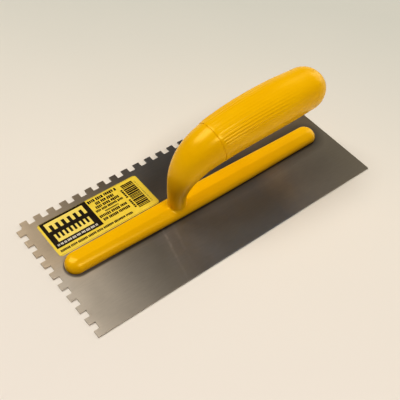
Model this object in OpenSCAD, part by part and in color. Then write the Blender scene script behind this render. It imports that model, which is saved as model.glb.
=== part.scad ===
// Notched trowel: a steel blade with square notches along one long and one short edge,
// a moulded plastic backbone (rail, swan neck and tang), a grip pressed over the tang,
// a printed label and the flush screws that hold the blade to the backbone.
// Frame: X along the blade's long edge, +Y to the notched long edge, +Z up.
// The origin is at the middle of the blade's underside. Millimetres.

/* [Blade] */
// Length of the blade
blade_l = 280; // [260:5:300]
// Width of the blade
blade_w = 120; // [110:1:130]
// Thickness of the steel sheet
blade_t = 1; // [0.8:0.1:1.2]
// Width of one square notch, and of the tooth beside it
notch_w = 6; // [4:0.5:8]
// Depth of the notches, measured in from the edge
notch_d = 5; // [4:0.5:8]
// Shortest plain stretch left at the far end of each notched edge
plain_end = 5; // [4:1:20]

/* [Rail] */
// Length of the rail
rail_l = 257; // [245:1:260]
// Shift of the rail's middle from the blade's middle, along X
rail_shift = 0.5; // [-2:0.5:2]
// Width of the rail at its ends
rail_end_w = 18.6; // [16:0.2:22]
// How much wider the rail is at its middle
rail_swell = 3.6; // [0:0.2:5]
// Height of the rail's ridge above the blade
rail_h = 8; // [7:0.2:12]
// Wall thickness over the hollow underside
rail_wall = 2; // [1.6:0.2:2.6]

/* [Handle] */
// Place of the neck's foot along X
neck_x = -25; // [-30:1:-20]
// Width of the neck at its narrowest
neck_w = 15.5; // [13:0.5:18]
// Height of the handle's middle line above the blade at the grip
grip_z = 65.5; // [60:0.5:72]
// Place of the seam between neck and grip along X
collar_x = 6.5; // [4:0.5:9]
// Largest width of the grip, along Y
grip_w = 39; // [35:0.5:41]
// Largest height of the grip
grip_h = 36.4; // [33:0.2:38]
// Place of the butt's outermost point along X
grip_end_x = 121; // [116:1:128]

/* [Screws] */
// Number of screws along the rail
screw_n = 7; // [5:1:7]
// Diameter of the screw shank
screw_d = 4; // [3.5:0.1:4.2]
// Diameter of the flush screw head
head_d = 6; // [5.5:0.1:6.5]
// Overall length of a screw
screw_l = 6.6; // [5.5:0.1:6.8]

/* [Label] */
// Length of the label
label_l = 94; // [80:1:95]
// Width of the label
label_w = 36; // [30:0.5:37]
// Thickness of the label
label_t = 0.2; // [0.1:0.05:0.4]

/* [Hidden] */

EPS = 0.5;                                   // how far a cutter runs past a face
STEEL = [0.42, 0.40, 0.38];
YELLOW = [0.95, 0.70, 0.05];
PRINT_YELLOW = [0.96, 0.84, 0.20];
ZINC = [0.75, 0.76, 0.78];

// ---- places worked out from the driving sizes ----
pitch = 2 * notch_w;
left_x = -blade_l / 2;
near_y = -blade_w / 2;
notches_long = floor((blade_l - notch_w - plain_end) / pitch) + 1;
notches_short = floor((blade_w - notch_w - plain_end) / pitch) + 1;
rail_left = rail_shift - rail_l / 2;
rail_right = rail_shift + rail_l / 2;
screw_edge = 14;                             // from the rail's end to the outer screws
screw_pitch = (rail_l - 2 * screw_edge) / (screw_n - 1);
boss_d = 2 * screw_d + 1;
label_x = left_x + 62;                       // the label's middle
label_y = 31.9;
label_r = 2.5;

function screw_x(i) = rail_left + screw_edge + (i - 1) * screw_pitch;

// ---- the handle's middle line ----
// Each station is [x, z, lean of the section, half height, half width]: lean 90 is a level
// section, as at the neck's foot, and lean 0 is an upright one, as at the butt.
half_w = grip_w / 2;
half_h = grip_h / 2;
line_z = blade_t + grip_z;
neck_r = neck_w / 2;
collar_z = line_z - 6.5;
STATIONS = [
    [neck_x, 4, 90, neck_r + 3, neck_r + 1.2],
    [neck_x, blade_t + rail_h + 1, 90, neck_r + 0.3, neck_r],
    [neck_x, 24, 88, neck_r + 1, neck_r + 1],
    [neck_x + 4.5, 0.6 * line_z, 66, 12, 12],
    [(neck_x + collar_x) / 2 - 1, collar_z - 7.5, 42, 15.5, 15],
    [collar_x, collar_z, 13, half_h - 1, half_w - 2.5],
    [collar_x + 28, line_z - 2, 6, half_h - 0.4, half_w - 0.7],
    [collar_x + 64, line_z, 2, half_h, half_w],
    [grip_end_x - 21, line_z, 0, half_h - 0.4, half_w - 1],
];
COLLAR = 5;                                  // index of the station at the seam
RING_STEPS = 4;                              // rings between one station and the next
RING_POINTS = 32;
DOME_RINGS = 7;
SQUARENESS = 2.15;                           // 2 is a plain ellipse

function spline(a, b, c, d, t) =
    0.5 * (2 * b + (c - a) * t + (2 * a - 5 * b + 4 * c - d) * t ^ 2 + (3 * b - a - 3 * c + d) * t ^ 3);

function station(i) =
    let (last = len(STATIONS) - 1)
    i < 0 ? 2 * STATIONS[0] - STATIONS[1]
    : i > last ? 2 * STATIONS[last] - STATIONS[last - 1]
    : STATIONS[i];

function along(i, t) = spline(station(i - 1), station(i), station(i + 1), station(i + 2), t);

function run(first, last) = concat(
    [for (i = [first:last - 1]) for (k = [0:RING_STEPS - 1]) along(i, k / RING_STEPS)],
    [STATIONS[last]]);

function super(c) = sign(c) * abs(c) ^ (2 / SQUARENESS);

function ring(s) = [for (k = [0:RING_POINTS - 1])
    let (a = 360 * k / RING_POINTS, up = s[3] * super(cos(a)), out = s[4] * super(sin(a)))
    [s[0] - sin(s[2]) * up, out, s[1] + cos(s[2]) * up]];

// The butt closes in a dome from the last station to the outermost point.
function dome() = [for (k = [1:DOME_RINGS])
    let (s = STATIONS[len(STATIONS) - 1], u = sin(86 * k / DOME_RINGS), c = (1 - u ^ 2.2) ^ (1 / 2.1))
    [s[0] + (grip_end_x - s[0]) * u / sin(86), s[1], 0, s[3] * c, s[4] * c]];

// Joins rings that all have the same number of points into one closed skin.
module skin(rings) {
    n = len(rings[0]);
    m = len(rings);
    sides = [for (i = [0:m - 2]) for (j = [0:n - 1])
        let (a = i * n + j, b = i * n + (j + 1) % n)
        each [[a, b, b + n], [a, b + n, a + n]]];
    caps = [[for (j = [n - 1:-1:0]) j], [for (j = [0:n - 1]) (m - 1) * n + j]];
    polyhedron(points = [for (r = rings) each r], faces = concat(sides, caps));
}

// ---- blade ----
module notches() {
    // The corner notch is open to both edges, so it belongs to both rows.
    for (i = [0:notches_long - 1])
        translate([left_x + i * pitch - (i == 0 ? EPS : 0), blade_w / 2 - notch_d, -EPS])
            cube([notch_w + (i == 0 ? EPS : 0), notch_d + EPS, blade_t + 2 * EPS]);
    for (i = [0:notches_short - 1])
        translate([left_x - EPS, blade_w / 2 - notch_w - i * pitch, -EPS])
            cube([notch_d + EPS, notch_w + (i == 0 ? EPS : 0), blade_t + 2 * EPS]);
}

module countersink() {
    cylinder(h = blade_t, d1 = head_d, d2 = screw_d, $fn = 48);
}

module blade() {
    color(STEEL)
    difference() {
        translate([left_x, near_y, 0]) cube([blade_l, blade_w, blade_t]);
        notches();
        for (i = [1:screw_n])
            translate([screw_x(i), 0, 0]) countersink();
    }
}

// ---- backbone ----
RAIL_FLAT = 0.65;                            // share of the half width under the two flat slopes
RIDGE_DROP = 1.2;                            // fall from the ridge to the slopes' outer edge
RAIL_RINGS = 26;
RAIL_POINTS = 16;
END_RINGS = 6;

function rail_r(x) =
    let (mid = (rail_left + rail_right) / 2 + 4, t = min(1, abs(x - mid) / (rail_l / 2)))
    rail_end_w / 2 + rail_swell / 2 * cos(90 * t) ^ 2;

function rail_top(r) = r < RAIL_FLAT
    ? rail_h - RIDGE_DROP * r / RAIL_FLAT
    : (rail_h - RIDGE_DROP) * sqrt(max(0, 1 - ((r - RAIL_FLAT) / (1 - RAIL_FLAT)) ^ 2));

// One upright section of the rail; off is how far it lies past the centre of a round end.
function rail_ring(x, off) =
    let (w = rail_r(x), hw = sqrt(w ^ 2 - off ^ 2))
    [for (k = [0:RAIL_POINTS])
        let (y = -hw * cos(180 * k / RAIL_POINTS))
        [x, y, blade_t + rail_top(min(1, norm([y, off]) / w))]];

// The round ends stop at a small flat, END_TURN degrees round.
END_TURN = 76;
function rail_rings() =
    let (r = rail_end_w / 2, reach = [for (k = [1:END_RINGS]) r * sin(END_TURN * k / END_RINGS)],
         grow = 1 / sin(END_TURN))
    concat(
        [for (k = [END_RINGS - 1:-1:0]) rail_ring(rail_left + r - reach[k] * grow, reach[k])],
        [for (k = [0:RAIL_RINGS]) rail_ring(rail_left + r + (rail_l - 2 * r) * k / RAIL_RINGS, 0)],
        [for (k = [0:END_RINGS - 1]) rail_ring(rail_right - r + reach[k] * grow, reach[k])]);

// Hollow pockets between the screw bosses, open to the blade.
module pockets() {
    w = rail_end_w - 4 * rail_wall;
    h = rail_h - RIDGE_DROP - rail_wall;
    for (i = [1:screw_n - 1])
        translate([screw_x(i) + boss_d / 2, -w / 2, blade_t - EPS])
            cube([screw_pitch - boss_d, w, h + EPS]);
}

// The tang and its socket share one tapered bore line, a little below the grip's middle line.
TANG_TILT = 4;
TANG_R1 = 13;
TANG_TAPER = 0.016;
TANG_L = 84;
TANG_ROOT = 6;
TANG_WEB = 3.2;

module on_tang_axis() {
    translate([collar_x, 0, collar_z + 0.5]) rotate([0, 90 - TANG_TILT, 0]) children();
}

module tang_cone(length) {
    r_start = TANG_R1 + TANG_TAPER * TANG_ROOT;
    translate([0, 0, -TANG_ROOT])
        cylinder(h = length + TANG_ROOT, r1 = r_start, r2 = r_start - TANG_TAPER * (length + TANG_ROOT), $fn = 64);
}

module tang() {
    intersection() {
        on_tang_axis() tang_cone(TANG_L);
        on_tang_axis() union() {
            translate([-TANG_R1 * 1.5, -TANG_WEB / 2, -TANG_ROOT])
                cube([3 * TANG_R1, TANG_WEB, TANG_L + TANG_ROOT]);
            translate([-TANG_WEB / 2, -TANG_R1 * 1.5, -TANG_ROOT])
                cube([TANG_WEB, 3 * TANG_R1, TANG_L + TANG_ROOT]);
            for (s = [0:3])
                translate([-TANG_R1 * 1.5, -TANG_R1 * 1.5, TANG_L / 4 * (s + 1) - TANG_WEB])
                    cube([3 * TANG_R1, 3 * TANG_R1, TANG_WEB]);
        }
    }
}

module backbone() {
    color(YELLOW)
    difference() {
        union() {
            skin(rail_rings());
            skin([for (s = run(0, COLLAR)) ring(s)]);
            tang();
        }
        pockets();
        for (i = [1:screw_n])
            translate([screw_x(i), 0, blade_t]) cylinder(h = screw_l - blade_t, d = screw_d, $fn = 48);
    }
}

// ---- grip ----
module grip() {
    color(YELLOW)
    difference() {
        skin([for (s = concat(run(COLLAR, len(STATIONS) - 1), dome())) ring(s)]);
        on_tang_axis() tang_cone(TANG_L + 2);
    }
}

// ---- label ----
module label() {
    color(PRINT_YELLOW)
    translate([label_x, label_y, blade_t])
    linear_extrude(label_t)
    union() {
        square([label_l - 2 * label_r, label_w], center = true);
        square([label_l, label_w - 2 * label_r], center = true);
        for (sx = [-1, 1]) for (sy = [-1, 1])
            translate([sx * (label_l / 2 - label_r), sy * (label_w / 2 - label_r)])
                circle(r = label_r, $fn = 32);
    }
}

// ---- screws ----
module screw() {
    tip = 1.4;
    color(ZINC)
    difference() {
        union() {
            countersink();
            translate([0, 0, blade_t]) cylinder(h = screw_l - blade_t - tip, d = screw_d, $fn = 48);
            translate([0, 0, screw_l - tip]) cylinder(h = tip, d1 = screw_d, d2 = screw_d / 2, $fn = 48);
        }
        for (a = [0, 90])
            rotate(a) translate([-head_d * 0.3, -0.4, -EPS]) cube([head_d * 0.6, 0.8, 0.9 + EPS]);
    }
}

blade();
backbone();
grip();
label();
for (i = [1:screw_n])
    translate([screw_x(i), 0, 0]) screw();
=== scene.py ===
"""Looks for the notched trowel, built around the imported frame.

Shapes are worked out in millimetres, in the frame's axes, and MM turns them into metres:
X along the blade, +Y to the notched long edge, +Z up, origin in the middle of the blade's underside.
"""
import itertools
import math
import random

import bmesh
import bpy
import numpy as np
from mathutils import Matrix, Vector


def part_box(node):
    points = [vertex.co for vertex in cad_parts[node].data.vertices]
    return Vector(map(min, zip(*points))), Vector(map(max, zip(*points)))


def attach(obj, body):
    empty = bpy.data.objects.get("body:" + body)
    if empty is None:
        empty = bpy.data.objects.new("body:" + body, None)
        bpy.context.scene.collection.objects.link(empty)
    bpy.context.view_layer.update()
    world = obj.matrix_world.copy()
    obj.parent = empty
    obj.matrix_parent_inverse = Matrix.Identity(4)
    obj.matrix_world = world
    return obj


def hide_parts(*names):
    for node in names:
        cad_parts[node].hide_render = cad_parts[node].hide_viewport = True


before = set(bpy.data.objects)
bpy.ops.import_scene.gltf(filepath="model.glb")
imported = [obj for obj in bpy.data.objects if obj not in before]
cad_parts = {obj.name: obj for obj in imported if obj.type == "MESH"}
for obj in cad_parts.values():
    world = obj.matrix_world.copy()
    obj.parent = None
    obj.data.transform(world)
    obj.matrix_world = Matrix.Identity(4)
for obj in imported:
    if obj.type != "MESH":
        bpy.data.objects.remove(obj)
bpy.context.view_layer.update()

MM = 0.001


# ---------------------------------------------------------------- sizes, in millimetres

def box_mm(node):
    """A CAD node's lowest and highest corners."""
    low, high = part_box(node)
    return low / MM, high / MM


BLADE_LOW, BLADE_HIGH = box_mm("blade")
TOP = BLADE_HIGH.z                       # upper face of the blade
LABEL_LOW, LABEL_HIGH = box_mm("label")
GRIP_HIGH = box_mm("grip")[1]

RAIL_LEFT = box_mm("backbone")[0].x
RAIL_RIGHT = 129.0
RAIL_H = 8.0
RAIL_END_R = 9.6                         # half width at the round ends
RAIL_SWELL = 1.5                         # extra half width in the middle
SWELL_SHIFT = 4.0                        # the widest place lies this far right of the rail's middle
RAIL_SKEW = 0.008                        # the rail sits a hair out of square with the blade
SKEW_X = 35.0                            # where it crosses the blade's middle line
RIDGE_Y = -1.6                           # the crease along the rail's top
ROOF = (0.12, 0.36)                      # fall of the far and the near slope, as a share of the height
EDGE_POWER = (7.0, 4.2)                  # how tightly each slope turns down into its side
RAIL_FOOT = 1.0                          # how far the sides pull in at the bottom edge
FOOT_H = 3.5                             # height up to which they do
FILLET = 1.4                             # between the rail and the neck

HALF_W = GRIP_HIGH.y                     # of the grip's largest section
HALF_H = 18.2
LINE_Z = GRIP_HIGH.z - HALF_H            # height of the grip's middle line
SQUARENESS = 2.15                        # power of the sections' outline, where 2 is an ellipse
NECK_X = -25.0
NECK_R = 7.3
NECK_REACH = 32.0                        # the neck's skin is nearer than this to its middle line
COLLAR_X = 6.5                           # middle of the seam between neck and grip
COLLAR_Z = LINE_Z - 6.5
COLLAR_LEAN = 13.0                       # how far the seam leans back from upright, in degrees
SEAM = math.radians(COLLAR_LEAN)
NECK_SPAN = (NECK_X - 20, COLLAR_X + 12)  # the neck is shaped between these places on X
RIM = 0.2                                # rounding of the neck at the seam

TANG_TILT = math.radians(4)
TANG_L = 84.0
TANG_R = 13.0                            # at the seam
TANG_TAPER = 0.016                       # loss of radius for each millimetre of length
TANG_ROOT = 6.0                          # depth inside the neck
TANG_WEB = 3.2                           # thickness of its webs and discs
WEB_SHY = 0.3                            # the webs stop short of the discs' rims

SCREWS = [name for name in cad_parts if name.startswith("screw")]
SCREW_X = sorted((low.x + high.x) / 2 / MM for low, high in map(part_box, SCREWS))
SCREW_TOP = box_mm("screw_1")[1].z
SCREW_R = 2.0
BOSS_D = 9.0
POCKET_HALF = 5.3                        # half width of the pockets between the bosses
POCKET_RISE = 0.6                        # their height, as a share of the rail's


# ---------------------------------------------------------------- camera, lights and floor

CAM_TARGET = Vector((-1.6, -1.8, -1.5)) * MM
CAM_DISTANCE = 0.602
CAM_HEADING = 43.5                       # degrees, clockwise from +Y
CAM_ELEVATION = 49.8
CAM_ROLL = 6.2
CAM_LENS = 65.6

WARM = (1.0, 0.945, 0.86)
LIGHTS = [                               # name, compass angle from +X, elevation, side in metres, radiance
    ("far_box", 105, 61, 2.0, 7.0),
    ("near_box", 281, 59, 1.3, 10.7),
    ("end_box", 4, 18, 2.6, 1.3),
    ("corner_box", 24, 34, 1.6, 0.9)]
LIGHT_DISTANCE = 4.0

ROOM_TINT = (1.0, 0.95, 0.90, 1.0)
ROOM_DARK, ROOM_PALE = 0.03, 0.42        # overhead, and in a band round the horizon
ROOM_FADE = (0.12, 0.36)                 # from the band to the dark, as sines of the elevation

FLOOR_R = 4500.0
FLOOR_SIDES = 96
FLOOR_DROP = 0.2                         # keeps the floor clear of the blade's underside
FLOOR_TURN = math.radians(-45)           # turns the paper's X axis away from the camera
FLOOR_SHADE = (-0.3, 0.5)                # where the painted shade goes from the near tone to the far one, in metres
# the paper's colour, with painted shade that greys it further away
FLOOR_TONES = [(0.0, (0.89, 0.835, 0.80)), (0.45, (0.83, 0.79, 0.735)), (0.78, (0.645, 0.65, 0.605))]


def direction(turn, rise):
    """A unit vector at a compass angle from +X and an elevation, both in degrees."""
    turn, rise = math.radians(turn), math.radians(rise)
    return Vector((math.cos(turn) * math.cos(rise), math.sin(turn) * math.cos(rise), math.sin(rise)))


def add_camera():
    forward = direction(90 - CAM_HEADING, -CAM_ELEVATION)
    data = bpy.data.cameras.new("camera")
    data.lens = CAM_LENS
    data.sensor_width = 36.0
    data.clip_start = 0.01
    camera = bpy.data.objects.new("camera", data)
    bpy.context.scene.collection.objects.link(camera)
    aim = forward.to_track_quat("-Z", "Y")
    roll = Matrix.Rotation(math.radians(CAM_ROLL), 4, "Z").to_quaternion()
    place = Matrix.Translation(CAM_TARGET - forward * CAM_DISTANCE)
    camera.matrix_world = place @ (aim @ roll).to_matrix().to_4x4()
    bpy.context.scene.camera = camera


def add_area(name, place, aim, side, radiance):
    data = bpy.data.lights.new(name, "AREA")
    data.shape = "SQUARE"
    data.size = side
    data.energy = radiance * math.pi * side * side
    data.color = WARM
    light = bpy.data.objects.new(name, data)
    bpy.context.scene.collection.objects.link(light)
    light.location = place
    light.visible_camera = False
    light.rotation_euler = (aim - place).to_track_quat("-Z", "Y").to_euler()


def add_lights():
    middle = Vector((0, 0, 0.03))
    for name, turn, rise, side, radiance in LIGHTS:
        add_area(name, middle + direction(turn, rise) * LIGHT_DISTANCE, middle, side, radiance)


def add_room():
    """A dim room whose pale walls stop a little above the horizon."""
    world = bpy.data.worlds.new("studio")
    world.use_nodes = True
    nodes, links = world.node_tree.nodes, world.node_tree.links
    way = nodes.new("ShaderNodeSeparateXYZ")
    links.new(nodes.new("ShaderNodeTexCoord").outputs["Generated"], way.inputs["Vector"])
    fade = nodes.new("ShaderNodeMapRange")
    fade.interpolation_type = "SMOOTHSTEP"
    for index, value in enumerate((*ROOM_FADE, ROOM_PALE, ROOM_DARK), start=1):
        fade.inputs[index].default_value = value
    links.new(way.outputs["Z"], fade.inputs[0])
    background = nodes["Background"]
    background.inputs["Color"].default_value = ROOM_TINT
    links.new(fade.outputs["Result"], background.inputs["Strength"])
    bpy.context.scene.world = world


def add_floor():
    turn = np.linspace(0, 2 * math.pi, FLOOR_SIDES, endpoint=False)
    rim = [(FLOOR_R * math.cos(a), FLOOR_R * math.sin(a), 0) for a in turn]
    floor = make_object("floor", rim, [range(FLOOR_SIDES)], smooth=False)
    floor.location.z = -FLOOR_DROP * MM
    floor.data.materials.append(floor_paper())


# ---------------------------------------------------------------- node materials

class Shader:
    """A small helper that builds a node material around one Principled shader."""

    def __init__(self, name):
        self.material = bpy.data.materials.new(name)
        self.material.use_nodes = True
        self.tree = self.material.node_tree
        self.principled = self.tree.nodes["Principled BSDF"]

    def set(self, socket, value):
        self.principled.inputs[socket].default_value = value

    def link(self, source, socket):
        self.tree.links.new(source, self.principled.inputs[socket])

    def node(self, kind, settings=(), **inputs):
        """A new node. Inputs go by name, or by number as i0, i1 and so on."""
        made = self.tree.nodes.new(kind)
        for key, value in dict(settings).items():
            setattr(made, key, value)
        for key, value in inputs.items():
            numbered = key[0] == "i" and key[1:].isdigit()
            target = made.inputs[int(key[1:])] if numbered else made.inputs[key]
            if isinstance(value, bpy.types.NodeSocket):
                self.tree.links.new(value, target)
            else:
                target.default_value = value
        return made

    def place(self, scale=(1, 1, 1), turn=(0, 0, 0)):
        """Object coordinates, in metres, scaled and turned."""
        coords = self.node("ShaderNodeTexCoord").outputs["Object"]
        return self.node("ShaderNodeMapping", Vector=coords, Scale=scale, Rotation=turn).outputs["Vector"]

    def place_mm(self):
        """Object coordinates, in millimetres."""
        return self.place((1 / MM, 1 / MM, 1 / MM))

    def axis_mm(self, axis):
        """One object coordinate, in millimetres."""
        return self.node("ShaderNodeSeparateXYZ", Vector=self.place_mm()).outputs[axis]

    def noise(self, where, scale, detail=2.0, roughness=0.5):
        made = self.node("ShaderNodeTexNoise", Vector=where, Scale=scale, Detail=detail, Roughness=roughness)
        return made.outputs["Fac"]

    def math(self, operation, a, b=0.0, c=0.0):
        return self.node("ShaderNodeMath", {"operation": operation}, i0=a, i1=b, i2=c).outputs[0]

    def ramp(self, fac, stops):
        made = self.node("ShaderNodeValToRGB", Fac=fac)
        points = made.color_ramp.elements
        while len(points) < len(stops):
            points.new(0.5)
        for point, (at, colour) in zip(points, stops):
            point.position = at
            point.color = (*colour, 1.0)
        return made.outputs["Color"]

    def span(self, value, low, high, to_low, to_high):
        """Goes from to_low to to_high while a value goes from low to high, and holds outside them."""
        made = self.node("ShaderNodeMapRange", i0=value, i1=low, i2=high, i3=to_low, i4=to_high)
        return made.outputs["Result"]

    def mix(self, fac, a, b, blend="MIX"):
        made = self.node("ShaderNodeMix", {"data_type": "RGBA", "blend_type": blend}, i0=fac, i6=a, i7=b)
        return made.outputs[2]

    def grey(self, tone):
        return self.node("ShaderNodeCombineXYZ", X=tone, Y=tone, Z=tone).outputs["Vector"]

    def bump(self, height, distance, strength=1.0, normal=None):
        made = self.node("ShaderNodeBump", Height=height, Distance=distance, Strength=strength)
        if normal is not None:
            self.tree.links.new(normal, made.inputs["Normal"])
        return made.outputs["Normal"]


def floor_paper():
    """Matt paper, a little greyer away from the camera, which is painted shade."""
    s = Shader("floor_paper")
    away = s.node("ShaderNodeSeparateXYZ", Vector=s.place(turn=(0, 0, FLOOR_TURN))).outputs["X"]
    away = s.math("ADD", away, s.math("MULTIPLY", s.noise(s.place(), 3.0), 0.1))
    s.link(s.ramp(s.span(away, *FLOOR_SHADE, 0.0, 1.0), FLOOR_TONES), "Base Color")
    s.set("Roughness", 0.85)
    s.set("Specular IOR Level", 0.2)
    return s.material


PLASTIC_TONES = [(0.30, (0.88, 0.475, 0.0)), (0.70, (0.95, 0.545, 0.001))]
# colour of the painted shade on the yellow plastic
PAINTED_SHADE_TONE = (0.16, 0.085, 0.01, 1.0)
PAINTED_SHADE_RISE = 7.0                          # how far up from the blade the low painted shade fades out
NECK_SHADE_MIDDLE = Vector((NECK_X - 3, -6, 28))  # middle of the painted shade on the front of the neck's foot
NECK_SHADE_FADE = (4.0, 20.0)               # where that painted shade starts to fade, and where it ends


def painted_low_shade(s):
    """Painted shade down at the blade, where the rail's foot is shaded, heavier to the right under the grip.
    """
    by_height = s.span(s.axis_mm("Z"), TOP, TOP + PAINTED_SHADE_RISE, 1.0, 0.0)
    return s.math("MULTIPLY", by_height, s.span(s.axis_mm("X"), -110, 100, 0.20, 0.85))


def painted_rail_shade(s):
    """Painted shade on the rail's top, heavier to the right under the grip and on the near side of its
    crease.
    """
    along = s.axis_mm("X")
    across = s.math("MULTIPLY_ADD", s.math("SUBTRACT", along, SKEW_X), RAIL_SKEW, s.axis_mm("Y"))
    near, far = s.span(along, -100, 80, 0.09, 0.17), s.span(along, -10, 80, 0.0, 0.10)
    amount = s.span(across, RIDGE_Y - 0.7, RIDGE_Y + 0.7, near, far)
    rail_top = TOP + RAIL_H
    return s.math("MULTIPLY", s.span(s.axis_mm("Z"), rail_top + 0.5, rail_top + 6, 1.0, 0.0), amount)


def painted_neck_shade(s):
    """Painted shade on the front of the neck's foot, where it faces down towards the blade."""
    away = s.node("ShaderNodeVectorMath", {"operation": "DISTANCE"}, i0=s.place_mm(), i1=NECK_SHADE_MIDDLE)
    return s.span(away.outputs["Value"], *NECK_SHADE_FADE, 0.45, 0.0)


def yellow_plastic(name):
    """Moulded semi-gloss plastic: flow marks, fine pitting, scuffs in its gloss, and painted shade in
    places.
    """
    s = Shader(name)
    clean = s.ramp(s.noise(s.place((14, 40, 40)), 1.0, 3.0, 0.6), PLASTIC_TONES)
    # painted shade: at the rail's foot, on the rail's top and on the front of the neck's foot
    painted_shade = s.math("MAXIMUM", painted_rail_shade(s), s.math("MAXIMUM", painted_low_shade(s), painted_neck_shade(s)))
    s.link(s.mix(painted_shade, clean, PAINTED_SHADE_TONE), "Base Color")
    scuff = s.noise(s.place((120, 220, 220)), 1.0, 4.0, 0.7)
    s.link(s.span(scuff, 0.35, 0.75, 0.21, 0.28), "Roughness")
    s.set("Specular IOR Level", 0.40)
    s.set("Specular Tint", (1.0, 0.80, 0.25, 1.0))
    waves = s.bump(s.noise(s.place(), 130.0, 1.0, 0.5), 0.08 * MM, 0.4)
    pits = s.bump(s.noise(s.place(), 900.0, 2.0, 0.6), 0.03 * MM, 0.5, waves)
    s.link(pits, "Normal")
    return s.material


STEEL_TONES = [                          # share of the length, from the notched end, and colour; the lighter, warmer ends and bluer middle are painted reflection
    (0.0, (0.59, 0.53, 0.455)), (0.10, (0.57, 0.515, 0.445)), (0.20, (0.415, 0.375, 0.325)),
    (0.26, (0.365, 0.33, 0.285)), (0.34, (0.27, 0.26, 0.26)), (0.45, (0.275, 0.293, 0.328)),
    (0.66, (0.265, 0.29, 0.34)), (0.80, (0.43, 0.385, 0.33)), (0.90, (0.385, 0.345, 0.285)),
    (1.0, (0.33, 0.295, 0.235))]
# warms the steel beyond the rail as a painted reflection of the yellow plastic
STEEL_FAR_TINT = (0.98, 0.90, 0.79, 1.0)
RUBS = [(-43.5, 1.6, 0.45), (-34.0, 2.4, 0.16)]  # each one's X at the middle line, half width, strength
RUB_SLANT = 0.27                         # their gain in X for each millimetre of Y
PAINTED_SHADE_SHIFT = 0.9                        # the painted shade's outline lies this far past the rail's left end


def rail_distance(s):
    """How far a point of the blade lies from the rail's outline, in millimetres."""
    along, across = s.axis_mm("X"), s.axis_mm("Y")
    first, last = RAIL_LEFT + RAIL_END_R - PAINTED_SHADE_SHIFT, RAIL_RIGHT - RAIL_END_R
    inner = s.math("MAXIMUM", s.math("MINIMUM", along, last), first)
    past_end = s.math("SUBTRACT", along, inner)
    swell = s.span(s.math("ABSOLUTE", along), 0, 120, RAIL_SWELL, 0.0)
    out = s.math("SQRT", s.math("ADD", s.math("POWER", past_end, 2.0), s.math("POWER", across, 2.0)))
    return s.math("SUBTRACT", s.math("SUBTRACT", out, swell), RAIL_END_R)


def rub(s, start, half_width, strength):
    """A faint pale streak, a little aslant, across the near half of the blade."""
    along, across = s.axis_mm("X"), s.axis_mm("Y")
    wobble = s.span(s.noise(s.place(), 70.0), 0.3, 0.7, -0.6, 0.6)
    shift = s.math("ADD", s.math("MULTIPLY", across, -RUB_SLANT), wobble)
    offset = s.math("ABSOLUTE", s.math("SUBTRACT", s.math("ADD", along, shift), start))
    band = s.span(offset, 0.0, half_width, strength, 0.0)
    run = s.math("MULTIPLY", s.span(across, -15, -52, 1.0, 0.2), s.math("LESS_THAN", across, 0.0))
    patchy = s.span(s.noise(s.place(), 260.0), 0.35, 0.6, 0.3, 1.0)
    return s.math("MULTIPLY", band, s.math("MULTIPLY", run, patchy))


def steel_colour(s, cloud):
    """The steel's colour along the blade, with painted reflection: lighter and warmer towards the ends, and
    a little warmer beyond the rail.
    """
    along = s.span(s.axis_mm("X"), BLADE_LOW.x, BLADE_HIGH.x, 0.0, 1.0)
    base = s.ramp(s.math("ADD", along, s.span(cloud, 0.3, 0.7, -0.03, 0.03)), STEEL_TONES)
    # painted reflection of the yellow plastic beyond the rail
    beyond = s.span(s.axis_mm("Y"), -5, 12, 0.0, 1.0)
    return s.mix(beyond, base, s.mix(1.0, base, STEEL_FAR_TINT, "MULTIPLY"))


def steel_tone(s, grain, cloud):
    """How bright the steel is: its grain and clouds, the rubs, and painted shade round the rail."""
    tone = s.math("ADD", s.span(grain, 0.3, 0.7, 0.90, 1.00), s.span(cloud, 0.3, 0.7, -0.05, 0.05))
    for streak in RUBS:
        tone = s.math("ADD", tone, rub(s, *streak))
    along, away = s.axis_mm("X"), rail_distance(s)
    reach = s.span(along, -110, 60, 1.5, 10.0)
    # painted shade: a soft dark halo round the rail on the blade, wider to the right
    painted_shade_halo = s.span(away, 0.0, reach, s.span(along, 0, 100, 0.62, 0.48), 1.0)
    # painted shade: a dark line where the rail meets the blade, darker to the right
    edge = s.span(away, -0.2, 1.2, s.span(along, -110, 100, 0.41, 0.30), 1.0)
    return s.math("MULTIPLY", tone, s.math("MULTIPLY", painted_shade_halo, edge))


def blade_steel():
    """Rolled steel, brighter at the notched end as painted reflection: grain along the blade, cloudy marks,
    a few faint rubs, and painted shade round the rail.
    """
    s = Shader("blade_steel")
    grain = s.noise(s.place((140, 2600, 2600)), 1.0, 3.0, 0.65)
    cloud = s.noise(s.place(), 22.0, 4.0, 0.6)
    tone = s.grey(steel_tone(s, grain, cloud))
    s.link(s.mix(1.0, steel_colour(s, cloud), tone, "MULTIPLY"), "Base Color")
    s.set("Metallic", 0.8)
    s.set("Anisotropic", 0.85)
    s.link(s.node("ShaderNodeCombineXYZ", Y=1.0).outputs["Vector"], "Tangent")
    s.link(s.span(cloud, 0.3, 0.7, 0.36, 0.42), "Roughness")
    s.link(s.bump(grain, 0.02 * MM, 0.4), "Normal")
    return s.material


def screw_zinc():
    s = Shader("screw_zinc")
    tone = s.noise(s.place(), 500.0, 3.0, 0.6)
    s.link(s.ramp(tone, [(0.3, (0.55, 0.56, 0.58)), (0.7, (0.72, 0.73, 0.75))]), "Base Color")
    s.set("Metallic", 1.0)
    s.link(s.span(tone, 0.3, 0.7, 0.24, 0.38), "Roughness")
    return s.material


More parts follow.
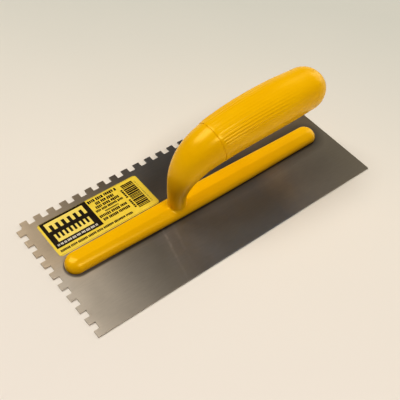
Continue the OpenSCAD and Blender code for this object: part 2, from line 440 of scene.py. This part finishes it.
def print_paper(name, dark, light, roughness, shine=0.4):
    """Coated paper or ink on it: slight mottle in the colour and the gloss."""
    s = Shader(name)
    mottle = s.noise(s.place(), 240.0, 3.0, 0.6)
    s.link(s.ramp(mottle, [(0.3, dark), (0.7, light)]), "Base Color")
    s.link(s.span(mottle, 0.3, 0.7, roughness - 0.05, roughness + 0.07), "Roughness")
    s.set("Specular IOR Level", shine)
    s.link(s.bump(s.noise(s.place(), 1400.0), 0.01 * MM, 0.3), "Normal")
    return s.material


# ---------------------------------------------------------------- mesh helpers

def make_object(name, points, faces, smooth=True):
    """A mesh object from points in millimetres."""
    mesh = bpy.data.meshes.new(name)
    places = [tuple(float(c) * MM for c in point) for point in points]
    mesh.from_pydata(places, [], [tuple(int(i) for i in face) for face in faces])
    mesh.validate()
    if smooth:
        mesh.shade_smooth()
    else:
        mesh.shade_flat()
    made = bpy.data.objects.new(name, mesh)
    bpy.context.scene.collection.objects.link(made)
    return made


def dress(piece, material, slot, *replaced):
    """Gives a piece its material and its place in the frame."""
    piece.data.materials.clear()
    piece.data.materials.append(material)
    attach(piece, "root")
    if replaced:
        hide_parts(*replaced)


def skin_faces(rings, count):
    """Quads between neighbouring rings of count points each."""
    near = np.arange(count)
    after = (near + 1) % count
    band = np.stack([near, after, after + count, near + count], 1)
    return np.concatenate([band + i * count for i in range(rings - 1)]).tolist()


def apply_boolean(piece, tool, operation):
    """Joins or cuts piece with tool, and removes the tool."""
    step = piece.modifiers.new("step", "BOOLEAN")
    step.operation = operation
    step.solver = "EXACT"
    step.object = tool
    depsgraph = bpy.context.evaluated_depsgraph_get()
    result = bpy.data.meshes.new_from_object(piece.evaluated_get(depsgraph))
    piece.modifiers.clear()
    piece.data = result
    bpy.data.objects.remove(tool)


def sharpen(piece, degrees):
    """Keeps an edge crisp where two faces of a smooth piece meet at more than the angle."""
    bm = bmesh.new()
    bm.from_mesh(piece.data)
    limit = math.radians(degrees)
    for edge in bm.edges:
        edge.smooth = len(edge.link_faces) == 2 and edge.calc_face_angle(math.pi) < limit
    bm.to_mesh(piece.data)
    bm.free()


def cut_flat(piece, place, normal, above=-1e3):
    """Cuts away what lies past a plane, of the part above a height, and closes the cut with a flat face."""
    bm = bmesh.new()
    bm.from_mesh(piece.data)
    verts = [v for v in bm.verts if v.co.z > above * MM]
    chosen = set(verts)
    edges = [e for e in bm.edges if chosen.issuperset(e.verts)]
    faces = [f for f in bm.faces if chosen.issuperset(f.verts)]
    cut = bmesh.ops.bisect_plane(bm, geom=[*verts, *edges, *faces], dist=1e-7,
                                 plane_co=Vector(place) * MM, plane_no=Vector(normal), clear_outer=True)
    rim = [e for e in cut["geom_cut"] if isinstance(e, bmesh.types.BMEdge)]
    bmesh.ops.edgeloop_fill(bm, edges=rim)
    bmesh.ops.recalc_face_normals(bm, faces=bm.faces[:])
    bm.to_mesh(piece.data)
    bm.free()


def block(name, low, high):
    """A plain box between two corners, for use as a cutting or joining tool."""
    corners = list(itertools.product(*zip(low, high)))
    sides = [(0, 1, 3, 2), (4, 6, 7, 5), (0, 4, 5, 1), (2, 3, 7, 6), (0, 2, 6, 4), (1, 5, 7, 3)]
    return make_object(name, corners, sides, smooth=False)


def drum(name, rings, count=48):
    """A closed round solid on the Z axis from (height, radius) pairs, lowest first."""
    angle = np.arange(count) / count * 2 * math.pi
    points = [(r * math.cos(a), r * math.sin(a), z) for z, r in rings for a in angle]
    bottom = tuple(range(count))[::-1]
    lid = tuple(range((len(rings) - 1) * count, len(rings) * count))
    return make_object(name, points, [*skin_faces(len(rings), count), bottom, lid])


# ---------------------------------------------------------------- surface from a distance field

NET_STEP = 0.8                           # pitch of the samples
FIELD_BATCH = 60000                      # samples worked out at a time


def sample_grid(field, low, high, step):
    axes = [np.arange(a, b + step, step) for a, b in zip(low, high)]
    grid = np.stack(np.meshgrid(*axes, indexing="ij"), -1)
    flat = grid.reshape(-1, 3)
    batches = np.array_split(flat, max(1, len(flat) // FIELD_BATCH))
    values = np.concatenate([field(batch) for batch in batches])
    return grid, values.reshape(grid.shape[:3])


def grid_part(axes, parts):
    """An index into a grid that takes a part of some axes and all of the others."""
    index = [slice(None)] * 3
    for axis, part in zip(axes, parts):
        index[axis] = part
    return tuple(index)


def edge_crossings(grid, values, axis):
    """The grid's edges along one axis: their crossing points, which are crossed, which start inside."""
    low, high = grid_part([axis], [slice(None, -1)]), grid_part([axis], [slice(1, None)])
    inside = values < 0
    crossed = inside[low] != inside[high]
    gap = np.where(crossed, values[low] - values[high], 1.0)
    share = np.where(crossed, values[low] / gap, 0.0)[..., None]
    points = (grid[low] + (grid[high] - grid[low]) * share) * crossed[..., None]
    return points, crossed, inside[low]


def edge_quads(axis, others, crossed, starts_inside, index):
    """A quad round each crossed edge, between the points of the four cells that share it."""
    where = np.argwhere(crossed[grid_part(others, [slice(1, -1)] * 2)])
    where[:, others] += 1
    step_b, step_c = np.eye(3, dtype=int)[others]
    corners = [where - db * step_b - dc * step_c for db, dc in ((1, 1), (0, 1), (0, 0), (1, 0))]
    quads = np.stack([index[tuple(corner.T)] for corner in corners], 1)
    flip = starts_inside[tuple(where.T)] == (axis == 1)
    quads[flip] = quads[flip][:, ::-1]
    return quads


def surface_net(grid, values):
    """Quads on the zero surface of a sampled field: one point in each cell that the surface crosses."""
    cells = np.array(values.shape) - 1
    total, count = np.zeros((*cells, 3)), np.zeros(cells)
    edges = []
    for axis in range(3):
        others = [k for k in range(3) if k != axis]
        points, crossed, starts_inside = edge_crossings(grid, values, axis)
        for shift in itertools.product((0, 1), repeat=2):
            part = grid_part(others, [slice(s, s + n) for s, n in zip(shift, cells[others])])
            total += points[part]
            count += crossed[part]
        edges.append((axis, others, crossed, starts_inside))
    used = count > 0
    index = np.full(cells, -1)
    index[used] = np.arange(used.sum())
    faces = [edge_quads(*edge, index) for edge in edges]
    return total[used] / count[used][:, None], np.concatenate(faces)


def settle(field, points, rounds=3):
    """Moves points along the field's slope onto its zero surface."""
    step = 0.02
    for _ in range(rounds):
        value = field(points)
        slope = np.stack([(field(points + step * axis) - value) / step for axis in np.eye(3)], 1)
        move = slope * (value / np.maximum((slope ** 2).sum(1), 0.05))[:, None]
        points = points - np.clip(move, -0.5 * NET_STEP, 0.5 * NET_STEP)
    return points


# ---------------------------------------------------------------- the handle's middle line

# [x, z, lean of the section, half height, half width], where a section that lies level, at the
# neck's foot, has a lean of 90 degrees, and one that stands upright, at the butt, has none
STATIONS = np.array([
    [NECK_X, 0.0, 90, NECK_R + 0.2, NECK_R - 0.2],
    [NECK_X, 11.0, 90, NECK_R + 0.2, NECK_R - 0.2],
    [NECK_X, 24.0, 88, NECK_R + 1, NECK_R + 1],
    [NECK_X + 4.5, 0.6 * LINE_Z, 66, 12, 12],
    [(NECK_X + COLLAR_X) / 2 - 1, COLLAR_Z - 7.5, 42, 15.5, 15],
    [COLLAR_X, COLLAR_Z, COLLAR_LEAN, HALF_H - 1, HALF_W - 2.5],
    [COLLAR_X + 28, LINE_Z - 2, 6, HALF_H - 0.4, HALF_W - 0.7],
    [COLLAR_X + 64, LINE_Z, 2, HALF_H, HALF_W],
    [GRIP_HIGH.x - 21, LINE_Z, 0, HALF_H - 0.4, HALF_W - 1]])
COLLAR = 5                               # index of the station at the seam
NECK_STEPS, GRIP_STEPS = 14, 30          # from each station to the next


def spline(stations, steps):
    """Catmull-Rom through the stations, with steps values from each one to the next."""
    ends = np.vstack([2 * stations[0] - stations[1], stations, 2 * stations[-1] - stations[-2]])
    t = (np.arange(steps) / steps)[:, None]
    pieces = []
    for a, b, c, d in zip(ends, ends[1:], ends[2:], ends[3:]):
        pieces.append(0.5 * (2 * b + (c - a) * t + (2 * a - 5 * b + 4 * c - d) * t ** 2
                             + (3 * b - a - 3 * c + d) * t ** 3))
    return np.vstack([*pieces, stations[-1:]])


# ---------------------------------------------------------------- backbone

FAR_OUT = 30.0                           # stands for the distance to the neck where it is far away
SEAM_CUT_Z = 25.0                        # the cut at the seam spares the rail, which lies below this


def either_side(pair, side):
    """Blends from a pair's first value, where side is 1, to its second, where side is -1."""
    far, near = pair
    return (far + near) / 2 + (far - near) / 2 * side


def rail_field(x, y, z):
    """Roughly the distance to the rail's surface, negative inside. Small terms keep its slope finite."""
    y = y + RAIL_SKEW * (x - SKEW_X)
    middle = (RAIL_LEFT + RAIL_RIGHT) / 2 + SWELL_SHIFT
    t = np.clip(np.abs(x - middle) / (RAIL_RIGHT - RAIL_LEFT) * 2, 0, 1)
    tuck = RAIL_FOOT * np.clip(1 - (z - TOP) / FOOT_H, 0, 1) ** 2
    r = RAIL_END_R + RAIL_SWELL * np.cos(t * math.pi / 2) ** 2 - tuck
    past_end = np.maximum(np.maximum(RAIL_LEFT + r - x, x - RAIL_RIGHT + r), 0)
    reach = np.sqrt(y ** 2 + past_end ** 2 + 0.06)
    out = reach / r
    power = either_side(EDGE_POWER, y / reach)
    from_ridge = np.sqrt((y - RIDGE_Y) ** 2 + past_end ** 2 + 0.01)
    fall = either_side(ROOF, (y - RIDGE_Y) / from_ridge)
    height = RAIL_H * (1 - fall * np.minimum(from_ridge / r, 1.2))
    up = np.maximum(z - TOP, 0) / height
    steep = np.sqrt((2 * up / height) ** 2 + (power * out ** (power - 1) / r) ** 2) + 0.02
    return (up ** 2 + out ** power - 1) / steep


def nearest_section(x, z, path):
    """The path's values at the section through each point, and the point's distance from the path."""
    lean = np.radians(path[:, 2])
    ahead = (x[:, None] - path[:, 0]) * np.cos(lean) + (z[:, None] - path[:, 1]) * np.sin(lean)
    away = np.hypot(x[:, None] - path[:, 0], z[:, None] - path[:, 1])
    near = np.argmin(np.abs(ahead) + 1e3 * (away > NECK_REACH), axis=1)
    rows = np.arange(len(x))
    here = ahead[rows, near]
    other = np.clip(near + np.where(here > 0, 1, -1), 0, len(path) - 1)
    gap = here - ahead[rows, other]
    apart = np.abs(gap) > 1e-6
    share = np.clip(np.where(apart, here / np.where(apart, gap, 1), 0), 0, 1)
    return path[near] + (path[other] - path[near]) * share[:, None], away.min(1)


def neck_field(x, y, z):
    """Roughly the distance to the neck's surface, negative inside. The neck runs on past the seam."""
    at, away = nearest_section(x, z, spline(STATIONS[:COLLAR + 2], NECK_STEPS))
    turn = np.radians(at[:, 2])
    up = -(x - at[:, 0]) * np.sin(turn) + (z - at[:, 1]) * np.cos(turn)
    to_seam = -((x - COLLAR_X) * np.cos(SEAM) + (z - COLLAR_Z) * np.sin(SEAM))
    tuck = RIM - np.sqrt(np.maximum(RIM ** 2 - np.clip(RIM - to_seam, 0, RIM) ** 2, 0))
    a, b = at[:, 3] - tuck, at[:, 4] - tuck
    u, v = np.abs(up / a) + 1e-6, np.abs(y / b) + 1e-6
    r = (u ** SQUARENESS + v ** SQUARENESS) ** (1 / SQUARENESS)
    steep = np.hypot(u ** (SQUARENESS - 1) / a, v ** (SQUARENESS - 1) / b) * r ** (1 - SQUARENESS)
    return np.where(away > NECK_REACH, FAR_OUT, (r - 1) / steep)


def backbone_field(p):
    """The rail and the neck, blended by a fillet."""
    x, y, z = p[:, 0], p[:, 1], p[:, 2]
    rail = rail_field(x, y, z)
    near = (x > NECK_SPAN[0]) & (x < NECK_SPAN[1])
    neck = np.full(len(p), FAR_OUT)
    neck[near] = neck_field(x[near], y[near], z[near])
    blend = np.maximum(FILLET - np.abs(rail - neck), 0) / FILLET
    return np.minimum(rail, neck) - blend ** 2 * FILLET / 4


def tang_axis():
    """Turns a solid on the Z axis onto the tang's axis."""
    return (Matrix.Translation(Vector((COLLAR_X, 0, COLLAR_Z + 0.5)) * MM)
            @ Matrix.Rotation(math.pi / 2 - TANG_TILT, 4, "Y"))


def tang_radius(along):
    return TANG_R - TANG_TAPER * along


def add_tang(piece):
    """Two crossed webs and four discs, rooted in the neck, that fill the grip's socket."""
    wide, half = TANG_R + 0.5, TANG_WEB / 2
    cone = [(-TANG_ROOT - 1, TANG_R - 3), (0, TANG_R - WEB_SHY), (TANG_L, tang_radius(TANG_L) - WEB_SHY)]
    for x, y, end in ((wide, half, TANG_L - half), (half, wide, TANG_L - half - 0.5)):
        web = block("web", (-x, -y, -TANG_ROOT), (x, y, end))
        apply_boolean(web, drum("cone", cone), "INTERSECT")
        web.data.transform(tang_axis())
        apply_boolean(piece, web, "UNION")
    for along in (TANG_L * 0.25, TANG_L * 0.5, TANG_L * 0.75, TANG_L - half):
        disc = drum("disc", [(at, tang_radius(at)) for at in (along - half, along + half)])
        disc.data.transform(tang_axis())
        apply_boolean(piece, disc, "UNION")


def cut_underside(piece):
    """Pockets between the screw bosses, and a hole for each screw."""
    low, high = TOP - 1, TOP + RAIL_H * POCKET_RISE
    wall = BOSS_D / 2 + 1
    for start, end in zip(SCREW_X, SCREW_X[1:]):
        pocket = block("pocket", (start + wall, -POCKET_HALF, low), (end - wall, POCKET_HALF, high))
        apply_boolean(piece, pocket, "DIFFERENCE")
    for x in SCREW_X:
        hole = drum("hole", [(low, SCREW_R), (SCREW_TOP + 0.2, SCREW_R)], 24)
        hole.data.transform(Matrix.Translation((x * MM, 0, 0)))
        apply_boolean(piece, hole, "DIFFERENCE")


def add_backbone(material):
    """The rail and the neck as one skin, cut flat at the seam and at the blade, then hollowed below."""
    low, high = (RAIL_LEFT - 2, -21, -3), (RAIL_RIGHT + 2, 21, LINE_Z + 16)
    points, faces = surface_net(*sample_grid(backbone_field, low, high, NET_STEP))
    piece = make_object("backbone_moulding", settle(backbone_field, points), faces)
    cut_flat(piece, (COLLAR_X, 0, COLLAR_Z), (math.cos(SEAM), 0, math.sin(SEAM)), SEAM_CUT_Z)
    cut_flat(piece, (0, 0, TOP), (0, 0, -1))
    cut_underside(piece)
    add_tang(piece)
    sharpen(piece, 40)
    dress(piece, material, "yellow_plastic", "backbone")


# ---------------------------------------------------------------- grip

RIB_PITCH = 7.9                          # degrees round the section
RIB_COUNT = 8                            # on each side of the top one
RIB_HEIGHT = 0.42
RIB_SUNK = 0.4                           # share of its height by which a rib's foot lies below the skin
RIB_START = (1.6, 3.1)                   # where the ribs rise, from the seam
RIB_FADE = (28.0, 104.0)                 # where the ribs run out, along X
GRIP_AROUND = 540                        # points in a ring
GRIP_PROUD = 0.3                         # how far the sleeve stands out at the seam
PROUD_RUN = 12.0                         # distance in which that fades
GRIP_RIM = 0.32                          # rounding of the sleeve at the seam
RIM_TURNS = (0, 22, 45, 67, 90)          # degrees of that rounding at which it has a ring
BUTT_RINGS = 38
BUTT_POWERS = (2.2, 2.1)                 # of the curve that closes the butt, where 2 and 2 are an ellipse


def super_power(value):
    return np.sign(value) * np.abs(value) ** (2 / SQUARENESS)


def section(ring, angle, swell=0.0):
    """Points of one section; swell moves them outwards."""
    x, z, lean, half_h, half_w = ring
    lean = math.radians(lean)
    up = (half_h + swell) * super_power(np.cos(angle))
    out = (half_w + swell) * super_power(np.sin(angle))
    return np.stack([x - math.sin(lean) * up, out, z + math.cos(lean) * up], 1)


def grip_path():
    """Stations close together from the seam to the butt, in the form of those above."""
    path = spline(STATIONS[COLLAR - 1:], GRIP_STEPS)[GRIP_STEPS:]
    x, z, _, half_h, half_w = path[-1]
    u = np.sin(np.radians(np.linspace(0, 90, BUTT_RINGS + 2)[1:-1]))
    close = (1 - u ** BUTT_POWERS[0]) ** (1 / BUTT_POWERS[1])
    flat = np.zeros(BUTT_RINGS)
    dome = np.stack([x + (GRIP_HIGH.x - x) * u, z + flat, flat, half_h * close, half_w * close], 1)
    return np.vstack([path, dome])


def rib_profile():
    """How far each point of a ring stands on a rib, as a share of the height, by its angle from the top."""
    turn = np.arange(GRIP_AROUND) / GRIP_AROUND * 2 * math.pi
    turn = np.degrees((turn + math.pi) % (2 * math.pi) - math.pi)
    near = np.abs(turn) / RIB_PITCH
    wave = (0.5 + 0.5 * np.cos(near * 2 * math.pi)) ** 1.4
    side = 0.25 + 0.75 * np.minimum(near / RIB_COUNT, 1) ** 1.5
    ribs = np.where(near < RIB_COUNT + 0.5, wave * side, 0.0)
    return ribs - RIB_SUNK * (ribs > 0)


def smooth_step(value, low, high):
    t = min(1.0, max(0.0, (value - low) / (high - low)))
    return t * t * (3 - 2 * t)


def rim_rings(first, angle):
    """Rings of the rounded rim at the seam."""
    rings = []
    for step in np.radians(RIM_TURNS):
        tuck = GRIP_RIM * (1 - math.sin(step))
        shift = GRIP_RIM * (1 - math.cos(step))
        ring = first.copy()
        ring[:2] += shift * math.cos(SEAM), shift * math.sin(SEAM)
        rings.append(section(ring, angle, GRIP_PROUD - tuck))
    return rings


def ribbed_rings(path, angle):
    """Rings over the ribs and on to the butt."""
    ribs = rib_profile()
    rings = []
    for ring in path:
        run = ring[0] - COLLAR_X
        if run < GRIP_RIM + 0.3:
            continue
        proud = GRIP_PROUD * max(0.0, 1 - run / PROUD_RUN)
        height = RIB_HEIGHT * smooth_step(run, *RIB_START) * (1 - smooth_step(ring[0], *RIB_FADE))
        rings.append(section(ring, angle, proud + height * ribs))
    return rings


def socket_ring(angle, along):
    """A circle round the tang's axis, at a distance along it."""
    radius = tang_radius(along)
    middle = tang_axis() @ Vector((0, 0, along * MM)) / MM
    up = Vector((-math.sin(TANG_TILT), 0, math.cos(TANG_TILT)))
    side = Vector((0, 1, 0))
    return np.array([middle + up * (radius * math.cos(a)) + side * (radius * math.sin(a)) for a in angle])


def socket_rings(angle):
    """The socket from its bottom to its mouth, which lies in the seam's plane."""
    deep = TANG_L + 2
    mouth = socket_ring(angle, 0)
    mouth[:, 0] = COLLAR_X - (mouth[:, 2] - COLLAR_Z) * math.tan(SEAM)
    return [socket_ring(angle, deep), socket_ring(angle, deep / 2), mouth]


def add_grip(material):
    """The sleeve as one skin, from the bottom of its socket, out over the rim and the ribs, to the butt."""
    angle = np.arange(GRIP_AROUND) / GRIP_AROUND * 2 * math.pi
    path = grip_path()
    rings = [*socket_rings(angle), *rim_rings(path[0], angle), *ribbed_rings(path, angle)]
    points = np.vstack([*rings, [[GRIP_HIGH.x, 0, path[-1][1]]]])
    tip = len(points) - 1
    last = tip - GRIP_AROUND
    faces = skin_faces(len(rings), GRIP_AROUND)
    faces += [(last + k, last + (k + 1) % GRIP_AROUND, tip) for k in range(GRIP_AROUND)]
    faces.append(tuple(range(GRIP_AROUND))[::-1])
    piece = make_object("grip_sleeve", points, [face[::-1] for face in faces])
    sharpen(piece, 50)
    dress(piece, material, "grip_plastic", "grip")


# ---------------------------------------------------------------- label artwork

INK = 0.02                               # how far each layer of ink stands up
PANEL = (2.0, 7.6, 44.3, 35.9)           # left, low, right and high edges on the label
TEXT_X = 59.15                           # middle of the lines of small print
TEXT_LINES = [                           # middle height, half length and letter height of each
    (32.6, 13.8, 3.1), (28.5, 9.0, 2.9), (24.7, 11.0, 2.8), (21.2, 13.0, 2.3),
    (18.0, 6.5, 1.3), (14.9, 13.5, 2.7), (11.0, 12.5, 2.7)]
LONGEST_WORD = 9.0
CODE = (77.0, 5.0, 88.0, 32.5)           # edges of the block of bars
CODE_NOTES = (74.2, 76.0)                # a column of small marks beside it
EDGE_MARKS = (89.2, 90.4)                # and one at the label's right edge
RULES = [(0.7, 0.7, 93.3, 1.0), (0.7, 35.3, 93.3, 35.6)]


def ink_layer(name, spots, layer, material):
    """Thin closed boxes over the label, from [left, low, right, high] spots in millimetres on the label."""
    sides = ((3, 2, 1, 0), (4, 5, 6, 7), (0, 1, 5, 4), (1, 2, 6, 5), (2, 3, 7, 6), (3, 0, 4, 7))
    top = LABEL_HIGH.z + INK * layer
    points, faces = [], []
    for x0, y0, x1, y1 in spots:
        first = len(points)
        outline = ((x0, y0), (x1, y0), (x1, y1), (x0, y1))
        points += [(LABEL_LOW.x + x, LABEL_LOW.y + y, z) for z in (top - 1.5 * INK, top) for x, y in outline]
        faces += [tuple(first + k for k in side) for side in sides]
    dress(make_object(name, points, faces, smooth=False), material, "label_paper")


def words(rng, x0, x1, y, height, longest):
    """A row of short blocks, in groups, that stands for a line of print."""
    spots = []
    letter, gap = 0.42 * height, 0.13 * height
    while x0 < x1 - letter:
        count = max(2, int(rng.uniform(0.4, 1.0) * longest / letter))
        for _ in range(count):
            width = letter * rng.uniform(0.8, 1.25)
            if x0 + width > x1:
                return spots
            low = y - height / 2 + rng.choice((0, 0, 0.12)) * height
            spots.append((x0, low, x0 + width, y + height / 2))
            x0 += width + gap
        x0 += 0.3 * height
    return spots


def teeth(x0, x1, y0, y1, count, spine, upright):
    """A bar with square teeth, as on the blade's edge."""
    pitch = (x1 - x0) / (count - 0.5)
    low, high = (y0, y1 - spine) if upright else (y0 + spine, y1)
    bar = (x0, y1 - spine, x1, y1) if upright else (x0, y0, x1, y0 + spine)
    return [bar] + [(x0 + k * pitch, low, x0 + (k + 0.5) * pitch, high) for k in range(count)]


def small_print(rng):
    """Lines of print in the middle of the label, and one along its foot."""
    spots = []
    for y, half, height in TEXT_LINES:
        spots += words(rng, TEXT_X - half, TEXT_X + half, y, height, LONGEST_WORD)
    return spots + words(rng, 3, 70, 4.3, 2.1, LONGEST_WORD)


def bar_code(rng):
    """Bars and gaps of random widths that stand for a code, with small marks beside them."""
    left, y, right, high = CODE
    spots = []
    while y < high:
        thick = rng.choice((0.8, 1.2, 1.7))
        spots.append((left, y, right, y + thick))
        y += thick + rng.choice((0.35, 0.5, 0.7))
    left, right = CODE_NOTES
    notes = [(left, y, right, y + 1.6) for y in np.arange(7.0, 29.0, 2.0).tolist() if rng.random() < 0.85]
    return spots + notes


def add_label_print():
    rng = random.Random(7)
    black = print_paper("label_black", (0.012, 0.007, 0.003), (0.022, 0.013, 0.006), 0.36, 0.12)
    white = print_paper("label_white", (0.62, 0.58, 0.52), (0.72, 0.68, 0.60), 0.4)
    pale = print_paper("label_pale_yellow", (0.84, 0.66, 0.12), (0.92, 0.74, 0.17), 0.36)
    olive = print_paper("label_olive", (0.34, 0.27, 0.02), (0.46, 0.37, 0.04), 0.4)
    left, low, right, high = PANEL
    ink_layer("label_panel", [PANEL], 1, black)
    combs = teeth(left + 3, right - 4, high - 11, high - 2, 7, 3.4, True)
    combs += teeth(left + 4.5, right - 5.5, low + 5.2, low + 13.4, 9, 3.0, False)
    ink_layer("label_combs", combs, 2, pale)
    ink_layer("label_strapline", words(rng, left + 2, right - 3, low + 2.6, 2.2, 4.0), 2, white)
    ink_layer("label_small_print", small_print(rng) + bar_code(rng), 1, black)
    start, end = EDGE_MARKS
    marks = [(start, y, end, y + rng.uniform(0.6, 1.4)) for y in np.arange(5.0, 32.0, 1.8).tolist()]
    ink_layer("label_marks", marks + RULES, 1, olive)


# ---------------------------------------------------------------- assembly

def paint(node, material):
    """Gives a CAD node that is shown as it is its material."""
    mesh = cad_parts[node].data
    mesh.materials.clear()
    mesh.materials.append(material)


def main():
    view = bpy.context.scene.view_settings
    view.view_transform = "Standard"
    view.look = "Medium High Contrast"
    add_camera()
    add_lights()
    add_room()
    add_floor()
    add_backbone(yellow_plastic("backbone_plastic"))
    add_grip(yellow_plastic("grip_plastic"))
    add_label_print()
    paint("blade", blade_steel())
    paint("label", print_paper("label_paper", (0.80, 0.60, 0.045), (0.87, 0.66, 0.06), 0.38))
    zinc = screw_zinc()
    for name in SCREWS:
        paint(name, zinc)


main()
